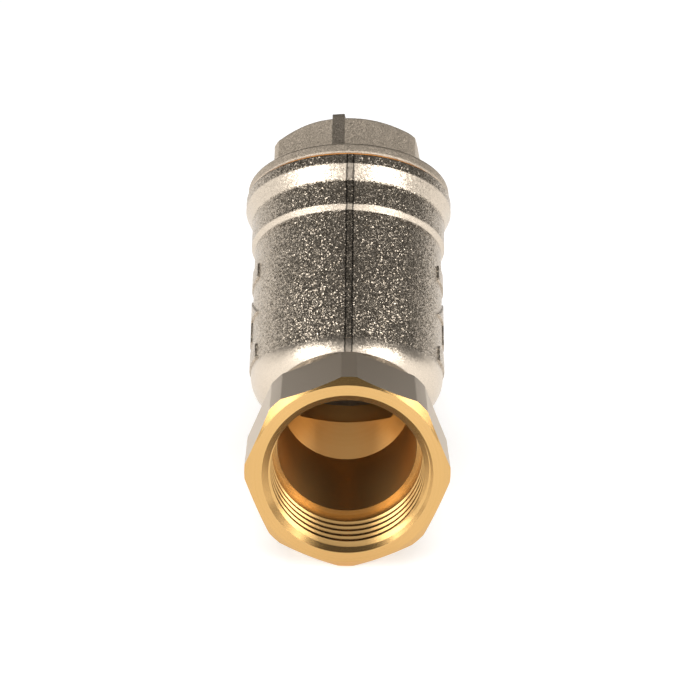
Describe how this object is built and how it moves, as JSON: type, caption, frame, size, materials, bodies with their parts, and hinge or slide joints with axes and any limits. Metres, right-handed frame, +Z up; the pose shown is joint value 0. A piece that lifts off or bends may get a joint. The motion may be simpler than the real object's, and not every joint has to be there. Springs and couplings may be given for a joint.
{
  "type": "y-pattern strainer check valve",
  "caption": "Y-pattern pipe valve with a screwed strainer cap on a leaning branch and a spring check cartridge in its outlet, female pipe threads at both ends.",
  "frame": {"origin": "centre of the inlet's end face, on the flow axis", "axes": "+Y along the flow from inlet to outlet, +Z up, the strainer branch leans 45 degrees from +Y towards +Z, X across"},
  "size_m": [0.0464, 0.112, 0.0778],
  "materials": {
    "nickel_brass": "nickel-plated, shot-blasted forging with turned brass bores",
    "brass": "turned",
    "fibre": "pressed fibre sheet",
    "stainless": "perforated sheet",
    "spring_steel": "drawn wire",
    "acetal": "moulded",
    "nitrile": "moulded"
  },
  "bodies": {
    "valve": {"valve_body": "nickel_brass", "check_housing": "brass", "housing_o_ring": "nitrile", "check_guide": "acetal", "check_spring": "spring_steel", "retaining_ring": "spring_steel"},
    "poppet": {"check_poppet": "acetal", "poppet_seal": "nitrile", "seal_keeper": "stainless"},
    "screen_lift": {"strainer_screen": "stainless", "cap_gasket": "fibre"},
    "cap": {"bonnet_cap": "nickel_brass"}
  },
  "joints": [
    {"name": "poppet_lift", "type": "slide", "parent": "valve", "child": "poppet", "axis": [0, 1, 0], "range_m": [0, 0.005], "stiffness_N_per_m": 160, "springref_m": -0.005, "deforming": ["check_spring"]},
    {"name": "cap_rise", "type": "slide", "parent": "valve", "child": "screen_lift", "axis": [0, 0.7071, 0.7071], "range_m": [0, 0.008]},
    {"name": "cap_turn", "type": "hinge", "parent": "screen_lift", "child": "cap", "pos_m": [0, 0.07114, 0.03514], "axis": [0, 0.7071, 0.7071], "range_deg": [0, 1440]}
  ],
  "couplings": [
    {"joint": "cap_rise", "follows": "cap_turn", "m_per_rad": 0.00031831}
  ]
}
